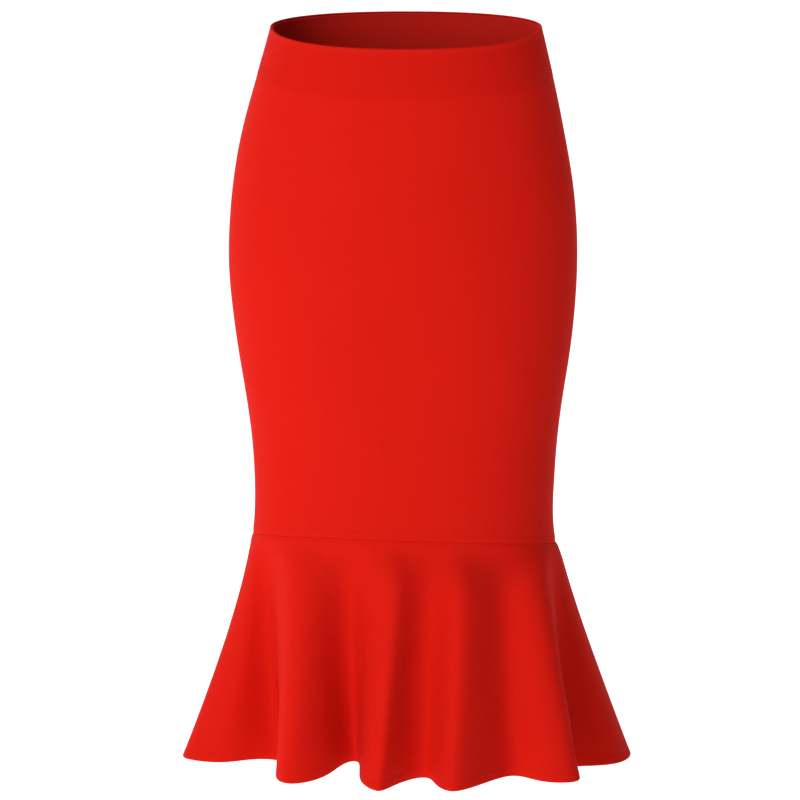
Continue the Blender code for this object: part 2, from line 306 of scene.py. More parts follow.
def dipped(share):
    middle = np.sin(np.pi * share)
    return middle * (1.25 - 0.25 * middle * middle)


def rightness(share):
    return (1 - np.cos(np.pi * share)) / 2


def waist_level(share):
    dip = dipped(share)
    return -np.where(dip > 0, WAIST_FRONT_DIP, WAIST_BACK_RISE) * dip


def seam_level(share):
    dip = dipped(share)
    sides = mix(SEAM_LEVEL_LEFT, SEAM_LEVEL_RIGHT, rightness(share))
    return sides + np.where(dip > 0, SEAM_FRONT_RISE, SEAM_BACK_DROP) * dip


TURN = np.linspace(-math.pi / 2, math.pi / 2, 97)


def ring_xy(sizes, share):
    """Points of rounded rings: sizes holds left, right, front, back and two squarenesses for each point."""
    left, right, front, back, front_sq, back_sq = np.moveaxis(np.asarray(sizes, float), -1, 0)
    share = np.asarray(share, float) % 2
    in_front = share <= 1
    depth = np.where(in_front, -front, back)
    squareness = np.where(in_front, front_sq, back_sq)
    middle, half = (right - left) / 2, (right + left) / 2
    along = np.where(in_front, share, 2 - share)

    def point(turn):
        s, c = np.sin(turn), np.cos(turn)
        n = squareness if np.ndim(turn) == np.ndim(squareness) else squareness[..., None]
        reach = (np.abs(s) ** n + np.abs(c) ** n) ** (-1 / n)
        return s * reach, c * reach

    sx, cy = point(np.broadcast_to(TURN, share.shape + TURN.shape))
    x, y = half[..., None] * sx, depth[..., None] * cy
    length = np.zeros_like(x)
    length[..., 1:] = np.cumsum(np.hypot(np.diff(x), np.diff(y)), axis=-1)
    target = along * length[..., -1]
    i = np.clip((length < target[..., None]).sum(-1) - 1, 0, len(TURN) - 2)
    low = np.take_along_axis(length, i[..., None], -1)[..., 0]
    high = np.take_along_axis(length, i[..., None] + 1, -1)[..., 0]
    turn = TURN[i] + (TURN[i + 1] - TURN[i]) * (target - low) / (high - low)
    sx, cy = point(turn)
    return middle + half * sx, depth * cy


def body_points(share, level):
    """share and level are arrays of one shape."""
    out = np.empty(share.shape + (3,))
    flat_share, flat_level, flat_out = share.ravel(), level.ravel(), out.reshape(-1, 3)
    for start in range(0, len(flat_share), 20000):
        part = slice(start, start + 20000)
        x, y = ring_xy(BODY.at(flat_level[part]), flat_share[part])
        flat_out[part] = np.stack([x, y, flat_level[part]], -1)
    return out


def growth(share, down):
    """How much of a fold's depth there is at each place: none at the seam, all at the hem."""
    start, power = HEM.at(share)[:, 3:4], HEM.at(share)[:, 4:5]
    return down[None, :] ** power * (1 - np.exp(-((down[None, :] / start) ** 2)))


def flounce_points(share, down):
    """share is one value a column, down one value a row; the result is [column, row, xyz]."""
    seam = body_points(share, seam_level(share))[:, None, :]
    sizes = np.array([-FOLDS["left_side"][1], FOLDS["right_side"][1], HEM_FRONT, HEM_BACK, HEM_SQUARENESS, HEM_SQUARENESS])
    mean_x, mean_y = ring_xy(np.broadcast_to(sizes, (len(share), 6)), share)
    hem = HEM.at(share)[:, None, :]
    flare = down[None, :] ** mix(FLARE_LEFT, FLARE_RIGHT, rightness(share))[:, None]
    side = 2 * rightness(share)[:, None] - 1
    spring = (1 - np.exp(-down / 0.045)) * np.exp(-down / 0.20)
    kick = np.where(side > 0, KICK_RIGHT, -KICK_LEFT) * side**4 * spring[None, :]
    x = mix(seam[..., 0], hem[..., 0], flare) + kick
    y = mix(seam[..., 1], mean_y[:, None], flare) + (hem[..., 1] - mean_y[:, None]) * growth(share, down)
    z = mix(seam[..., 2], HEM_LEVEL + hem[..., 2], down[None, :])
    return np.stack([x, y, z], -1)


def outward_normals(points):
    """Normals of a tube of points [column, row, xyz] whose columns run right round."""
    along = np.roll(points, -1, axis=0) - np.roll(points, 1, axis=0)
    down = np.empty_like(points)
    down[:, 1:-1] = points[:, 2:] - points[:, :-2]
    down[:, 0], down[:, -1] = points[:, 1] - points[:, 0], points[:, -1] - points[:, -2]
    normal = np.cross(along, -down)
    normal /= np.linalg.norm(normal, axis=-1, keepdims=True)
    return normal


def lengths_down(points):
    step = np.linalg.norm(np.diff(points, axis=1), axis=-1)
    return np.concatenate([np.zeros((len(points), 1)), np.cumsum(step, axis=1)], axis=1)


def lengths_round(points, half):
    """For columns of one half: distance along each row from the side seam where the half's columns start."""
    step = np.linalg.norm(np.diff(points, axis=0), axis=-1)
    return np.concatenate([np.zeros((1, points.shape[1])), np.cumsum(step, axis=0)], axis=0)


# ---------------------------------------------------------------- steps along the cloth

EDGE_STEPS = np.array([0.0, 0.06, 0.2, 0.42, 0.7, 1.05, 1.5, 2.1, 2.9, 3.9, 5.2, 6.8, 8.6]) / 1000


def places(total, middle_step, first=EDGE_STEPS, last=EDGE_STEPS, extra=()):
    """Distances from 0 to total, close together near both ends, with no step over middle_step."""
    start, end = first[-1], total - last[-1]
    count = max(2, int(math.ceil((end - start) / middle_step)) + 1)
    steps = np.concatenate([first[:-1], np.linspace(start, end, count), total - last[:-1][::-1], np.asarray(extra, float)])
    return np.unique(np.round(steps, 7))


def seam_edge(distance, radius):
    """How far the outer face drops below the surface near an edge, as a quarter round."""
    d = np.clip(distance, 0, radius)
    return radius - np.sqrt(np.maximum(radius * radius - (radius - d) ** 2, 0))


# ---------------------------------------------------------------- one wall of cloth


def wall(name, outer, inner, uv, lined=None):
    """A closed wall between two grids of points [column, row, xyz] that share their border. uv is in metres, and the
    last argument says where another layer backs the cloth, which the material darkens there as painted shade."""
    columns, rows = outer.shape[:2]
    border = np.zeros((columns, rows), bool)
    border[0], border[-1], border[:, 0], border[:, -1] = True, True, True, True
    outer_index = np.arange(columns * rows).reshape(columns, rows)
    inner_index = outer_index.copy()
    free = ~border
    inner_index[free] = columns * rows + np.arange(free.sum())
    points = np.concatenate([outer.reshape(-1, 3), inner[free]])

    def quads(index, turned):
        a, b, c, d = index[:-1, :-1], index[1:, :-1], index[1:, 1:], index[:-1, 1:]
        order = (a, b, c, d) if turned else (a, d, c, b)
        return np.stack(order, -1).reshape(-1, 4)

    faces = np.concatenate([quads(outer_index, False), quads(inner_index, True)])
    mesh = bpy.data.meshes.new(name)
    mesh.vertices.add(len(points))
    mesh.vertices.foreach_set("co", points.astype(np.float32).ravel())
    mesh.loops.add(faces.size)
    mesh.loops.foreach_set("vertex_index", faces.astype(np.int32).ravel())
    mesh.polygons.add(len(faces))
    mesh.polygons.foreach_set("loop_start", np.arange(0, faces.size, 4, dtype=np.int32))
    mesh.update(calc_edges=True)
    mesh.validate()
    layer = mesh.uv_layers.new(name="cloth")
    u = np.concatenate([uv.reshape(-1, 2), uv[free]])
    layer.data.foreach_set("uv", u[faces.ravel()].astype(np.float32).ravel())
    lined = np.zeros((columns, rows)) if lined is None else lined
    backing = mesh.attributes.new("lined", "FLOAT", "POINT")
    backing.data.foreach_set("value", np.concatenate([lined.ravel(), lined[free]]).astype(np.float32))
    inside = np.zeros(len(faces), np.int32)
    inside[len(faces) // 2 :] = 1
    mesh.polygons.foreach_set("material_index", inside)
    mesh.polygons.foreach_set("use_smooth", np.ones(len(faces), bool))
    mesh.update()
    piece = bpy.data.objects.new(name, mesh)
    bpy.context.scene.collection.objects.link(piece)
    return piece


def orient(piece):
    """Turns the faces out if the wall came out inside out."""
    mesh = piece.data
    mesh.calc_loop_triangles()
    points = np.empty(len(mesh.vertices) * 3)
    mesh.vertices.foreach_get("co", points)
    points = points.reshape(-1, 3)
    tris = np.empty(len(mesh.loop_triangles) * 3, np.int32)
    mesh.loop_triangles.foreach_get("vertices", tris)
    a, b, c = points[tris.reshape(-1, 3)].transpose(1, 0, 2)
    if np.einsum("ij,ij->i", a, np.cross(b, c)).sum() < 0:
        mesh.flip_normals()
    return piece


# ---------------------------------------------------------------- columns right round

SEAM_OVERLAP = 0.00002  # how far each panel's edge goes past a side seam's line, which closes the seam


def column_shares(half_length, middle_step):
    """Shares of the front's columns, then the back's, mirrored in spacing but not in folds."""
    d = places(half_length, middle_step)
    front = d / half_length
    past = SEAM_OVERLAP / half_length
    front = front * (1 + 2 * past) - past
    return np.concatenate([front, 1 + front]), len(front)


def split(array, count):
    return (("front", array[:count]), ("back", array[count:]))


# ---------------------------------------------------------------- soft unevenness of worn cloth


def waves(a, b, rows):
    """A sum of slow waves over the cloth: rows of (height, length round, length down, phase)."""
    total = np.zeros(np.broadcast(a, b).shape)
    for height, round_length, down_length, phase in rows:
        total = total + height * np.sin(2 * np.pi * (a / round_length + b / down_length) + phase)
    return total


BODY_WAVES = (
    (0.00022, 0.210, 0.470, 0.4),
    (0.00018, -0.155, 0.330, 1.9),
    (0.00012, 0.090, 0.260, 3.1),
    (0.00007, -0.058, 0.120, 0.9),
)
FLOUNCE_WAVES = (
    (0.00025, 0.160, 0.300, 1.2),
    (0.00018, -0.095, 0.210, 2.6),
    (0.00010, 0.052, 0.150, 0.3),
)


# ---------------------------------------------------------------- the body's two panels

BODY_HALF = 0.43
body_shares, body_columns = column_shares(BODY_HALF, 0.0026)
roll_angles = np.radians(np.array([150, 138, 124, 110, 96, 82, 68, 54, 40, 27, 14]))
body_downs = places(0.470, 0.0027, first=np.array([0.0, 0.35, 0.8, 1.4, 2.1, 3.0, 4.2, 5.6]) / 1000)


def body_grid(shares):
    """Outer surface of the body, over the rolled edge and down: points and normals."""
    count = len(shares)
    top, seam = waist_level(shares), seam_level(shares)
    share2 = np.repeat(shares[:, None], len(body_downs), 1)
    start = (top - ROLL)[:, None]
    level = start + (seam[:, None] - start) * (body_downs / body_downs[-1])[None, :]
    flat_points = body_points(share2, level)
    flat_normals = outward_normals(flat_points)
    # the roll, over the top and down inside
    first = flat_points[:, 0]
    out = flat_normals[:, 0].copy()
    out[:, 2] = 0
    out /= np.linalg.norm(out, axis=1, keepdims=True)
    up = np.array([0.0, 0.0, 1.0])
    roll_normals = out[:, None, :] * np.cos(roll_angles)[None, :, None] + up * np.sin(roll_angles)[None, :, None]
    roll_points = (first - out * ROLL)[:, None, :] + ROLL * roll_normals
    points = np.concatenate([roll_points, flat_points], axis=1)
    normals = np.concatenate([roll_normals, flat_normals], axis=1)
    return points, normals


body_surface, body_normals = body_grid(body_shares)
ROLL_ROWS = len(roll_angles)
body_down = lengths_down(body_surface)
from_roll = body_down - body_down[:, ROLL_ROWS][:, None]  # 0 where the roll starts
to_seam = body_down[:, -1][:, None] - body_down
to_top = body_down

body_faces = {}
for half, rows in split(np.arange(len(body_shares)), body_columns):
    surface, normals = body_surface[rows], body_normals[rows]
    round_ = lengths_round(surface, half)
    to_side = np.minimum(round_, round_[-1][None, :] - round_)
    down = from_roll[rows]
    lift = waves(round_, down + (0.3 if half == "back" else 0), BODY_WAVES) * smooth(to_side, 0, 0.03)
    lift *= smooth(down, 0.004, 0.05) * smooth(to_seam[rows], 0.002, 0.03)
    # the facing's lower edge prints through, and so do the allowances at the knee and the sides
    under_facing = smooth(down, 0.001, 0.012) * (1 - smooth(down, FACING_DEPTH - 0.0040, FACING_DEPTH + 0.0040))
    lift += 0.00030 * under_facing
    lift += 0.00016 * (1 - smooth(to_seam[rows], ALLOWANCE - 0.003, ALLOWANCE + 0.004)) * smooth(to_seam[rows], 0.001, 0.005)
    lift -= 0.00042 * bump(to_seam[rows], 0, 0.0021)
    lift += 0.00012 * (1 - smooth(to_side, ALLOWANCE - 0.003, ALLOWANCE + 0.003)) * smooth(to_side, 0.001, 0.004)
    lift -= 0.00022 * bump(to_side, 0, 0.0022) * (1 + 0.5 * np.sin(2 * np.pi * down / 0.0135 + 1.3 * np.sin(down / 0.021)))
    thick = np.full_like(down, CLOTH)
    thick = np.where(down < 0, 0.0011, mix(0.0011, CLOTH, smooth(down, 0, 0.006)))
    edge = np.minimum(np.minimum(to_side, to_seam[rows]), to_top[rows])
    radius = thick / 2
    drop = seam_edge(edge, EDGE_RADIUS)
    outer = surface + normals * (lift - drop)[..., None]
    inside = thick + 0.0009 * (1 - smooth(to_side, ALLOWANCE - 0.0006, ALLOWANCE + 0.0002)) * smooth(down, FACING_DEPTH, FACING_DEPTH + 0.002)
    inside = inside + 0.0014 * (1 - smooth(to_seam[rows], ALLOWANCE - 0.0006, ALLOWANCE + 0.0002))
    inner_depth = mix(thick / 2, inside, np.clip(1 - drop / EDGE_RADIUS, 0, 1))
    inner = surface + normals * (lift - inner_depth)[..., None]
    outer_border = surface + normals * (lift - radius)[..., None]
    for border in (np.s_[0], np.s_[-1]):
        outer[border], outer[:, border] = outer_border[border], outer_border[:, border]
    # where the facing backs the body: the material darkens the colour here as painted shade
    lined = smooth(down, 0.0005, 0.006) * (1 - smooth(down, FACING_DEPTH - 0.0045, FACING_DEPTH + 0.0045))
    uv = np.stack([round_ + (0.5 if half == "back" else 0), -body_down[rows]], -1)
    piece = wall("skirt_body_" + half, outer, inner, uv, lined)
    orient(piece)
    body_faces[half] = (inner, -normals, round_, to_seam[rows], down)
    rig.ride(piece, "root")
    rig.replaces(piece, "body_" + half)
    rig.slot(piece, "outer_knit")
    globals()["body_piece_" + half] = piece

# ---------------------------------------------------------------- the flounce's two panels

FLOUNCE_HALF = 0.86
flounce_shares, flounce_columns = column_shares(FLOUNCE_HALF, 0.0030)
FLOUNCE_LENGTH = 0.222
flounce_downs = places(FLOUNCE_LENGTH, 0.0026, extra=[FLOUNCE_LENGTH - HEM_TURN + x / 1000 for x in (-0.9, -0.45, 0, 0.45, 0.9)]) / FLOUNCE_LENGTH
flounce_surface = flounce_points(flounce_shares, flounce_downs)
flounce_normals = outward_normals(flounce_surface)
flounce_down = lengths_down(flounce_surface)

flounce_faces = {}
for half, rows in split(np.arange(len(flounce_shares)), flounce_columns):
    surface, normals = flounce_surface[rows], flounce_normals[rows]
    round_ = lengths_round(surface, half)
    down = flounce_down[rows]
    to_hem = down[:, -1][:, None] - down
    to_side = np.minimum(round_, round_[-1][None, :] - round_)
    lift = waves(round_, down + (0.2 if half == "back" else 0), FLOUNCE_WAVES) * smooth(to_side, 0, 0.03) * smooth(down, 0.004, 0.04)
    lift -= 0.00016 * bump(to_side, 0, 0.0022) * (1 + 0.5 * np.sin(2 * np.pi * down / 0.0125))
    # the hem is turned up and caught down: a faint line, and the edge a little fuller
    lift -= 0.00016 * bump(to_hem, HEM_TURN, 0.0013)
    lift += 0.00012 * (1 - smooth(to_hem, HEM_TURN - 0.004, HEM_TURN)) * smooth(to_hem, 0.0, 0.003)
    # at the knee seam the cloth dips, and then stands a little fuller over the allowances
    lift -= 0.00042 * bump(down, 0, 0.0019)
    lift += 0.00022 * bump(down, 0.0052, 0.0030)
    thick = np.full_like(down, CLOTH)
    thick = thick + 0.0009 * (1 - smooth(to_hem, HEM_TURN - 0.0005, HEM_TURN + 0.0002))
    radius = thick / 2
    edge = np.minimum(np.minimum(to_side, down), to_hem)
    # the turned hem is a rounder edge than the cut ones
    top_radius = np.where(to_hem < 0.004, radius, EDGE_RADIUS)
    drop = seam_edge(edge, top_radius)
    outer = surface + normals * (lift - drop)[..., None]
    inside = thick + 0.0008 * (1 - smooth(to_side, ALLOWANCE - 0.0006, ALLOWANCE + 0.0002))
    inner_depth = mix(radius, inside, np.clip((top_radius - drop) / top_radius, 0, 1))
    inner = surface + normals * (lift - inner_depth)[..., None]
    outer_border = surface + normals * (lift - radius)[..., None]
    for border in (np.s_[0], np.s_[-1]):
        outer[border], outer[:, border] = outer_border[border], outer_border[:, border]
    piece = wall("skirt_flounce_" + half, outer, inner, np.stack([round_ + (1.2 if half == "back" else 0), -down - 0.6], -1))
    orient(piece)
    flounce_faces[half] = (outer, normals, to_hem, inner, down)
    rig.ride(piece, "root")
    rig.replaces(piece, "flounce_" + half)
    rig.slot(piece, "outer_knit")
    globals()["flounce_piece_" + half] = piece

# ---------------------------------------------------------------- the facing, inside the waist

facing_shares, facing_columns = column_shares(0.36, 0.0032)
facing_start = 0.0014
facing_downs = places(FACING_DEPTH - 0.0012, 0.0026, first=EDGE_STEPS[:8], last=EDGE_STEPS[:8])
facing_level = waist_level(facing_shares)[:, None] - facing_start - facing_downs[None, :]
facing_surface = body_points(np.repeat(facing_shares[:, None], len(facing_downs), 1), facing_level)
facing_normals = outward_normals(facing_surface)
facing_down = lengths_down(facing_surface)

facing_faces = {}
for half, rows in split(np.arange(len(facing_shares)), facing_columns):
    surface, normals = facing_surface[rows], facing_normals[rows]
    round_ = lengths_round(surface, half)
    down = facing_down[rows]
    to_edge = down[:, -1][:, None] - down
    to_side = np.minimum(round_, round_[-1][None, :] - round_)
    lift = -(CLOTH + 0.00015) - 0.0001 * bump(to_side, 0, 0.002) + 0.00032 * smooth(down, 0.001, 0.012)
    # the facing's top is sewn to the rolled edge, which it follows inwards; a row of understitching holds it
    lift = lift - 0.0002 * (1 - smooth(down, 0.0, 0.006))
    face = 0.00012 * bump(down, 0.0030, 0.0007)
    thick = np.full_like(down, FACING_CLOTH) + 0.0003 * (1 - smooth(down, 0.0, 0.005))
    radius = thick / 2
    edge = np.minimum(np.minimum(to_side, down), to_edge)
    drop = seam_edge(edge, radius)
    outer = surface + normals * (lift - drop)[..., None]
    inner_depth = mix(radius, thick, np.clip((radius - drop) / radius, 0, 1)) - face
    inner = surface + normals * (lift - inner_depth)[..., None]
    outer_border = surface + normals * (lift - radius)[..., None]
    for border in (np.s_[0], np.s_[-1]):
        outer[border], outer[:, border] = outer_border[border], outer_border[:, border]
    piece = wall("skirt_facing_" + half, outer, inner, np.stack([round_ + (0.5 if half == "back" else 0) + 2.0, -down - 1.4], -1))
    orient(piece)
    facing_faces[half] = (inner, -normals, down, to_edge)
    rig.ride(piece, "root")
    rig.replaces(piece, "waist_facing_" + half)
    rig.slot(piece, "facing_knit")
    globals()["facing_piece_" + half] = piece

# ---------------------------------------------------------------- sewing threads

THREAD = 0.00017  # radius
HEM_STITCH, HEM_STITCH_PITCH = 0.0023, 0.0031
UNDER_STITCH, UNDER_STITCH_PITCH = 0.0022, 0.0029
OVERLOCK_PITCH, OVERLOCK_WIDTH = 0.0028, 0.0042


def line_at(points, normals, distance, value):
    """The line on a face where a distance has a value, with the face's normals along it."""
    line, away = np.empty((len(points), 3)), np.empty((len(points), 3))
    for column in range(len(points)):
        order = np.argsort(distance[column])
        for axis in range(3):
            line[column, axis] = np.interp(value, distance[column][order], points[column, order, axis])
            away[column, axis] = np.interp(value, distance[column][order], normals[column, order, axis])
    length = np.concatenate([[0], np.cumsum(np.linalg.norm(np.diff(line, axis=0), axis=1))])
    return line, away, length


def along(line, away, length, place):
    point = np.stack([np.interp(place, length, line[:, axis]) for axis in range(3)], -1)
    normal = np.stack([np.interp(place, length, away[:, axis]) for axis in range(3)], -1)
    return point, normal / np.linalg.norm(normal, axis=-1, keepdims=True)


def thread_mesh(name, strands, radius=THREAD, sides=6):
    """Strands of thread as closed tubes with tapered ends: each strand is an array of points."""
    points, faces, uvs = [], [], []
    base = 0
    turn = np.linspace(0, 2 * np.pi, sides, endpoint=False)
    for strand in strands:
        count = len(strand)
        ahead = np.gradient(strand, axis=0)
        ahead /= np.linalg.norm(ahead, axis=1, keepdims=True)
        side = np.cross(ahead, np.array([0.137, 0.291, 0.947]))
        side /= np.linalg.norm(side, axis=1, keepdims=True)
        up = np.cross(side, ahead)
        size = np.full(count, radius)
        size[[0, -1]] = radius * 0.35
        ring = strand[:, None] + size[:, None, None] * (
            side[:, None] * np.cos(turn)[None, :, None] + up[:, None] * np.sin(turn)[None, :, None]
        )
        points.append(ring.reshape(-1, 3))
        length = np.concatenate([[0], np.cumsum(np.linalg.norm(np.diff(strand, axis=0), axis=1))])
        uvs.append(np.stack(np.broadcast_arrays(length[:, None], turn[None, :] * radius), -1).reshape(-1, 2))
        index = base + np.arange(count * sides).reshape(count, sides)
        after = np.roll(index, -1, axis=1)
        faces += np.stack([index[:-1], after[:-1], after[1:], index[1:]], -1).reshape(-1, 4).tolist()
        faces += [index[0, ::-1].tolist(), index[-1].tolist()]
        base += count * sides
    mesh = bpy.data.meshes.new(name)
    mesh.from_pydata(np.concatenate(points).tolist(), [], faces)
    mesh.polygons.foreach_set("use_smooth", [True] * len(faces))
    layer = mesh.uv_layers.new(name="cloth")
    corner = np.empty(len(mesh.loops), np.int32)
    mesh.loops.foreach_get("vertex_index", corner)
    layer.data.foreach_set("uv", np.concatenate(uvs)[corner].astype(np.float32).ravel())
    mesh.update()
    piece = bpy.data.objects.new(name, mesh)
    bpy.context.scene.collection.objects.link(piece)
    return piece


def straight_stitches(line, away, length, stitch, pitch):
    """A row of lockstitches: each dives into the cloth at both ends."""
    strands = []
    margin = 0.004
    count = int((length[-1] - 2 * margin) / pitch)
    for k in range(count):
        # the feed is never quite even
        start = margin + k * pitch + 0.00012 * math.sin(k * 1.7) + 0.00009 * math.sin(k * 0.61)
        place = start + stitch * np.array([0.0, 0.14, 0.5, 0.86, 1.0])
        point, normal = along(line, away, length, place)
        height = THREAD * np.array([-0.9, 0.4, 0.75, 0.4, -0.9])
        strands.append(point + normal * height[:, None])
    return strands


def overlock(edge, inner):
    """Two threads of an overlocked edge: one zigzags over the raw edge, the other runs through its inner turns."""
    line, away, length = edge
    line2, away2, length2 = inner
    margin = 0.003
    count = int((length[-1] - 2 * margin) / OVERLOCK_PITCH)
    zigzag, needle = [], []
    for k in range(count):
        start = margin + k * OVERLOCK_PITCH + 0.00015 * math.sin(k * 1.3)
        share = (start + np.array([0.0, 0.20, 0.42, 0.58, 0.80]) * OVERLOCK_PITCH) / length[-1]
        a, na = along(line, away, length, share * length[-1])
        b, nb = along(line2, away2, length2, share * length2[-1])
        across = np.array([0.0, 0.45, 0.98, 0.98, 0.45])[:, None]
        height = THREAD * np.array([-1.6, 0.9, 0.7, 0.7, 0.9])[:, None]
        zigzag.append(mix(a, b, across) + mix(na, nb, across) * height)
        needle.append(b[2:4].mean(0) + nb[2] * THREAD * 1.2)
    return [np.concatenate(zigzag), np.array(needle)]


threads = {}


def add_thread(name, strands, node, slot):
    piece = thread_mesh(name, strands)
    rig.ride(piece, "root")
    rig.replaces(piece, node)
    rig.slot(piece, slot)
    threads[name] = piece
    return piece


for half in ("front", "back"):
    outer, normals, to_hem, inner, down = flounce_faces[half]
    line = line_at(outer, normals, to_hem, HEM_TURN)
    add_thread("skirt_hem_stitches_" + half, straight_stitches(*line, HEM_STITCH, HEM_STITCH_PITCH), "flounce_" + half, "outer_knit")
    face, normals, down, to_edge = facing_faces[half]
    line = line_at(face, normals, down, 0.0030)
    strands = straight_stitches(*line, UNDER_STITCH, UNDER_STITCH_PITCH)
    strands += overlock(line_at(face, normals, to_edge, 0.0003), line_at(face, normals, to_edge, OVERLOCK_WIDTH))
    add_thread("skirt_facing_stitches_" + half, strands, "waist_facing_" + half, "facing_knit")
    face, normals, round_, to_seam_, down = body_faces[half]
    strands = overlock(line_at(face, normals, to_seam_, ALLOWANCE + 0.0001), line_at(face, normals, to_seam_, ALLOWANCE - OVERLOCK_WIDTH))
    for distance in (round_, round_[-1][None, :] - round_):
        # along the side seams, from the facing down to the knee: the same, with the grid turned
        keep = (down[0] > FACING_DEPTH + 0.004) & (to_seam_[0] > ALLOWANCE + 0.002)
        turned = (face[:, keep].swapaxes(0, 1), normals[:, keep].swapaxes(0, 1), distance[:, keep].T)
        strands += overlock(line_at(*turned, ALLOWANCE + 0.0001), line_at(*turned, ALLOWANCE - OVERLOCK_WIDTH))
    add_thread("skirt_seam_stitches_" + half, strands, "body_" + half, "outer_knit")

# ---------------------------------------------------------------- the cloth's flat cut

for half, flat, area in (
    ("front", (0.432, 0.495), 0.191),
    ("back", (0.453, 0.500), 0.205),
):
    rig.sheet(globals()["body_piece_" + half], flat=flat, held="hung", area=area, with_pieces=[threads["skirt_seam_stitches_" + half]])
for half, flat, area in (
    ("front", (0.707, 0.312), 0.137),
    ("back", (0.684, 0.300), 0.127),
):
    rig.sheet(globals()["flounce_piece_" + half], flat=flat, held="hung", area=area, with_pieces=[threads["skirt_hem_stitches_" + half]])
for half in ("front", "back"):
    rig.sheet(globals()["facing_piece_" + half], flat=(0.377, FACING_DEPTH), area=0.0162, held="hung", with_pieces=[threads["skirt_facing_stitches_" + half]])

# ---------------------------------------------------------------- materials


def knit(name, colour, inside=False):
    """Smooth double knit: wales of small stitches, uneven yarn, a slight bloom of fibres."""
    material = bpy.data.materials.new(name)
    material.use_nodes = True
    tree = material.node_tree
    nodes, links = tree.nodes, tree.links
    shader = nodes["Principled BSDF"]
    shader.inputs["Specular IOR Level"].default_value = 0.025
    shader.inputs["Sheen Weight"].default_value = 0.022
    shader.inputs["Sheen Roughness"].default_value = 0.45
    shader.inputs["Sheen Tint"].default_value = (1.0, 0.22, 0.16, 1.0)
    shader.inputs["Metallic"].default_value = 0.0

    def math_node(kind, a, b=None, clamp=False):
        node = nodes.new("ShaderNodeMath")
        node.operation = kind
        node.use_clamp = clamp
        for socket, value in zip(node.inputs, (a, b)):
            if value is None:
                continue
            if isinstance(value, (int, float)):
                socket.default_value = value
            else:
                links.new(value, socket)
        return node.outputs[0]

    place = nodes.new("ShaderNodeUVMap")
    place.uv_map = "cloth"
    split_place = nodes.new("ShaderNodeSeparateXYZ")
    links.new(place.outputs["UV"], split_place.inputs[0])
    across, along = split_place.outputs[0], split_place.outputs[1]
    wale, course = (0.00095, 0.00080) if not inside else (0.00095, 0.00110)

    # stitches: columns of small Vs, the two legs of a loop
    x = math_node("MULTIPLY", across, 1 / wale)
    cell = math_node("SUBTRACT", math_node("FRACT", x), 0.5)
    off = math_node("ABSOLUTE", cell)
    y = math_node("ADD", math_node("MULTIPLY", along, 1 / course), math_node("MULTIPLY", off, 1.1))
    leg = math_node("ABSOLUTE", math_node("SUBTRACT", math_node("FRACT", y), 0.5))
    loop = math_node("SUBTRACT", 1.0, math_node("MULTIPLY", math_node("MULTIPLY", leg, leg), 3.2))
    groove = math_node("SUBTRACT", 1.0, math_node("POWER", math_node("MULTIPLY", off, 2.0), 3.0))
    stitch = math_node("MULTIPLY", loop, groove)

    # yarn: fine heather and slow patches
    coordinates = nodes.new("ShaderNodeTexCoord")
    fine = nodes.new("ShaderNodeTexNoise")
    fine.inputs["Scale"].default_value = 900.0
    fine.inputs["Detail"].default_value = 3.0
    fine.inputs["Roughness"].default_value = 0.6
    slow = nodes.new("ShaderNodeTexNoise")
    slow.inputs["Scale"].default_value = 14.0
    slow.inputs["Detail"].default_value = 4.0
    slow.inputs["Roughness"].default_value = 0.55
    fuzz = nodes.new("ShaderNodeTexNoise")
    fuzz.inputs["Scale"].default_value = 260.0
    fuzz.inputs["Detail"].default_value = 5.0
    fuzz.inputs["Roughness"].default_value = 0.7
    for noise in (fine, slow, fuzz):
        links.new(coordinates.outputs["Object"], noise.inputs["Vector"])

    tone = nodes.new("ShaderNodeMix")
    tone.data_type = "RGBA"
    dark = tuple(c * k for c, k in zip(colour[:3], (0.88, 0.80, 0.80))) + (1.0,)
    light = tuple(min(1.0, c * k) for c, k in zip(colour[:3], (1.09, 1.22, 1.22))) + (1.0,)
    tone.inputs["A"].default_value = dark
    tone.inputs["B"].default_value = light
    # the stitch relief also goes into the colour, the loops lighter and the grooves between them darker: painted shade
    share = math_node(
        "ADD",
        math_node("MULTIPLY", fine.outputs["Fac"], 0.40),
        math_node("ADD", math_node("MULTIPLY", slow.outputs["Fac"], 0.30), math_node("MULTIPLY", stitch, 0.42)),
        clamp=True,
    )
    # painted shade: the colour is darker where the facing backs the cloth
    lined = nodes.new("ShaderNodeAttribute")
    lined.attribute_name = "lined"
    share = math_node("SUBTRACT", share, math_node("MULTIPLY", lined.outputs["Fac"], 0.26), clamp=True)
    links.new(share, tone.inputs["Factor"])
    links.new(tone.outputs["Result"], shader.inputs["Base Color"])

    rough = math_node("ADD", math_node("MULTIPLY", fuzz.outputs["Fac"], 0.16), 0.70, clamp=True)
    links.new(rough, shader.inputs["Roughness"])

    height = math_node(
        "ADD",
        math_node("MULTIPLY", stitch, 1.0),
        math_node("ADD", math_node("MULTIPLY", fine.outputs["Fac"], 0.7), math_node("MULTIPLY", fuzz.outputs["Fac"], 0.9)),
    )
    relief = nodes.new("ShaderNodeBump")
    relief.inputs["Strength"].default_value = 0.34
    relief.inputs["Distance"].default_value = 0.00018
    links.new(height, relief.inputs["Height"])
    links.new(relief.outputs["Normal"], shader.inputs["Normal"])
    return material


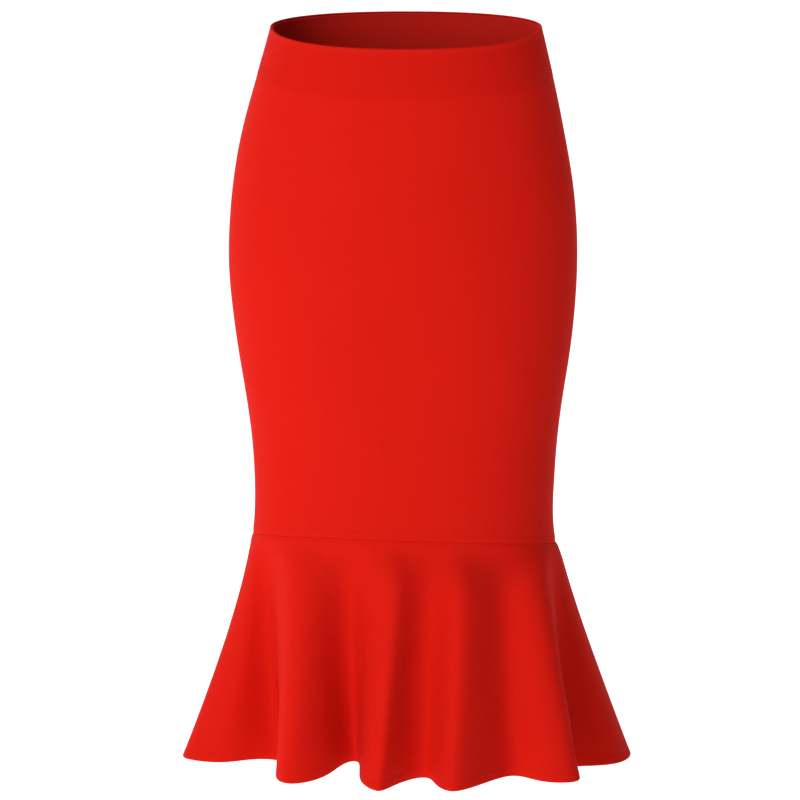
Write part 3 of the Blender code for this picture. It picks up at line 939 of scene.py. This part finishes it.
def thread_material():
    """Polyester sewing thread: two plies twisted together, a little glossier than the knit."""
    material = bpy.data.materials.new("thread")
    material.use_nodes = True
    tree = material.node_tree
    nodes, links = tree.nodes, tree.links
    shader = nodes["Principled BSDF"]
    shader.inputs["Roughness"].default_value = 0.5
    shader.inputs["Specular IOR Level"].default_value = 0.12
    place = nodes.new("ShaderNodeUVMap")
    place.uv_map = "cloth"
    turned = nodes.new("ShaderNodeMapping")
    turned.inputs["Rotation"].default_value = (0.0, 0.0, 0.6)
    links.new(place.outputs["UV"], turned.inputs["Vector"])
    ply = nodes.new("ShaderNodeTexWave")
    ply.wave_profile = "SIN"
    ply.inputs["Scale"].default_value = 500.0
    ply.inputs["Distortion"].default_value = 0.4
    links.new(turned.outputs["Vector"], ply.inputs["Vector"])
    # the twist also sets the colour, the plies' crests lighter and the grooves between them darker: painted shade
    tone = nodes.new("ShaderNodeMix")
    tone.data_type = "RGBA"
    tone.inputs["A"].default_value = (0.46, 0.0058, 0.0028, 1.0)
    tone.inputs["B"].default_value = (0.62, 0.0105, 0.0055, 1.0)
    links.new(ply.outputs["Fac"], tone.inputs["Factor"])
    links.new(tone.outputs["Result"], shader.inputs["Base Color"])
    relief = nodes.new("ShaderNodeBump")
    relief.inputs["Strength"].default_value = 0.5
    relief.inputs["Distance"].default_value = 0.00006
    links.new(ply.outputs["Fac"], relief.inputs["Height"])
    links.new(relief.outputs["Normal"], shader.inputs["Normal"])
    return material


outer_knit = knit("outer_knit", (0.600, 0.0092, 0.0044))
inner_knit = knit("inner_knit", (0.56, 0.0090, 0.0045), inside=True)
facing_knit = knit("facing_knit", (0.57, 0.0165, 0.0095), inside=True)
thread = thread_material()
for piece in threads.values():
    piece.data.materials.append(thread)
for half in ("front", "back"):
    for piece in (globals()["body_piece_" + half], globals()["flounce_piece_" + half]):
        piece.data.materials.append(outer_knit)
        piece.data.materials.append(inner_knit)
    globals()["facing_piece_" + half].data.materials.append(facing_knit)
    globals()["facing_piece_" + half].data.materials.append(facing_knit)

# ---------------------------------------------------------------- floor, light and camera

FLOOR = -1.06  # the waist of someone standing on it is at the origin


def plain(name, colour, glow=0.0):
    material = bpy.data.materials.new(name)
    material.use_nodes = True
    shader = material.node_tree.nodes["Principled BSDF"]
    shader.inputs["Base Color"].default_value = colour
    shader.inputs["Roughness"].default_value = 0.9
    shader.inputs["Specular IOR Level"].default_value = 0.1
    shader.inputs["Emission Color"].default_value = (1, 1, 1, 1)
    shader.inputs["Emission Strength"].default_value = glow
    return material


def stage_piece(name, points, faces, material):
    mesh = bpy.data.meshes.new(name)
    mesh.from_pydata(points, [], faces)
    mesh.polygons.foreach_set("use_smooth", [True] * len(faces))
    piece = bpy.data.objects.new(name, mesh)
    bpy.context.scene.collection.objects.link(piece)
    mesh.materials.append(material)
    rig.stage(piece)
    return piece


def bend_profile(start, radius, level, steps=16):
    """A quarter bend from flat to upright."""
    return [
        (start + radius * math.sin(a), level + radius - radius * math.cos(a))
        for a in np.linspace(0, math.pi / 2, steps + 1)
    ]


def stage_floor():
    """The pale floor, and a bounce card behind that curves up from it and only gives light."""
    width, front, back, rise, bend = 14.0, -9.0, 5.0, 7.0, 2.0
    material = plain("pale_floor", (0.80, 0.80, 0.80, 1), glow=0.72)
    corners = [(x, y, FLOOR) for y in (front, back - bend) for x in (-width, width)]
    stage_piece("floor", corners, [(0, 1, 3, 2)], material)
    profile = bend_profile(back - bend, bend, FLOOR) + [(back, rise)]
    points = [(x, y, z) for y, z in profile for x in (-width, width)]
    faces = [(2 * i, 2 * i + 1, 2 * i + 3, 2 * i + 2) for i in range(len(profile) - 1)]
    card = stage_piece("bounce_card", points, faces, material)
    card.visible_camera = False


def stage_backdrop():
    """A plain white bowl all round, so that every side of the skirt is seen against the same backdrop. It gives no light."""
    steps, inner, outer, bend, rise = 96, 2.6, 14.0, 4.0, 12.0
    profile = [(inner, FLOOR + 0.002)] + bend_profile(outer - bend, bend, FLOOR + 0.002) + [(outer, rise)]
    turns = [2 * math.pi * i / steps for i in range(steps)]
    points = [(r * math.cos(turn), r * math.sin(turn), z) for r, z in profile for turn in turns]
    faces = [
        (row * steps + i, row * steps + (i + 1) % steps, (row + 1) * steps + (i + 1) % steps, (row + 1) * steps + i)
        for row in range(len(profile) - 1)
        for i in range(steps)
    ]
    bowl = stage_piece("backdrop", points, faces, plain("pale_backdrop", (0.80, 0.80, 0.80, 1), glow=1.0))
    bowl.visible_diffuse = bowl.visible_glossy = bowl.visible_transmission = bowl.visible_shadow = False


stage_floor()
stage_backdrop()

world = bpy.data.worlds.new("studio")
bpy.context.scene.world = world
world.use_nodes = True
world.node_tree.nodes["Background"].inputs["Color"].default_value = (1, 1, 1, 1)
world.node_tree.nodes["Background"].inputs["Strength"].default_value = 0.03


def softbox(name, azimuth, elevation, distance, width, height, power, aim=(0, 0, -0.35)):
    """A soft light in degrees round the skirt from the front, positive to the picture's right."""
    azimuth, elevation = math.radians(azimuth), math.radians(elevation)
    aim = Vector(aim)
    place = aim + distance * Vector(
        (math.sin(azimuth) * math.cos(elevation), -math.cos(azimuth) * math.cos(elevation), math.sin(elevation))
    )
    light = bpy.data.lights.new(name, "AREA")
    light.shape = "RECTANGLE"
    light.size, light.size_y = width, height
    light.energy = power
    lamp = bpy.data.objects.new(name, light)
    bpy.context.scene.collection.objects.link(lamp)
    lamp.location = place
    lamp.rotation_euler = (aim - place).to_track_quat("-Z", "Y").to_euler()
    return lamp


softbox("key", -30, 15, 3.4, 1.2, 2.0, 74)
softbox("left", -95, 12, 3.2, 1.2, 2.0, 15)
softbox("left_rim", -130, 15, 3.2, 1.2, 2.0, 21)
softbox("top", 15, 78, 2.6, 1.6, 1.6, 19)

camera = bpy.data.objects.new("camera", bpy.data.cameras.new("camera"))
bpy.context.scene.collection.objects.link(camera)
CAMERA, AIM = Vector((-0.0047, -6.0, 0.4869)), Vector((-0.0047, 0.0, -0.3531))
camera.location = CAMERA
camera.rotation_euler = (AIM - CAMERA).to_track_quat("-Z", "Y").to_euler()
camera.data.sensor_width = 36.0
camera.data.lens = 290.0
camera.data.clip_start, camera.data.clip_end = 0.1, 60.0
bpy.context.scene.camera = camera

scene = bpy.context.scene
scene.view_settings.view_transform = "Standard"
scene.view_settings.look = "None"
scene.view_settings.exposure = 0.0
scene.view_settings.gamma = 1.0

low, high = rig.bounds()
with open("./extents.json", "w") as out:
    json.dump({"cad": [list(cad_low), list(cad_high)], "visual": [list(low), list(high)]}, out)
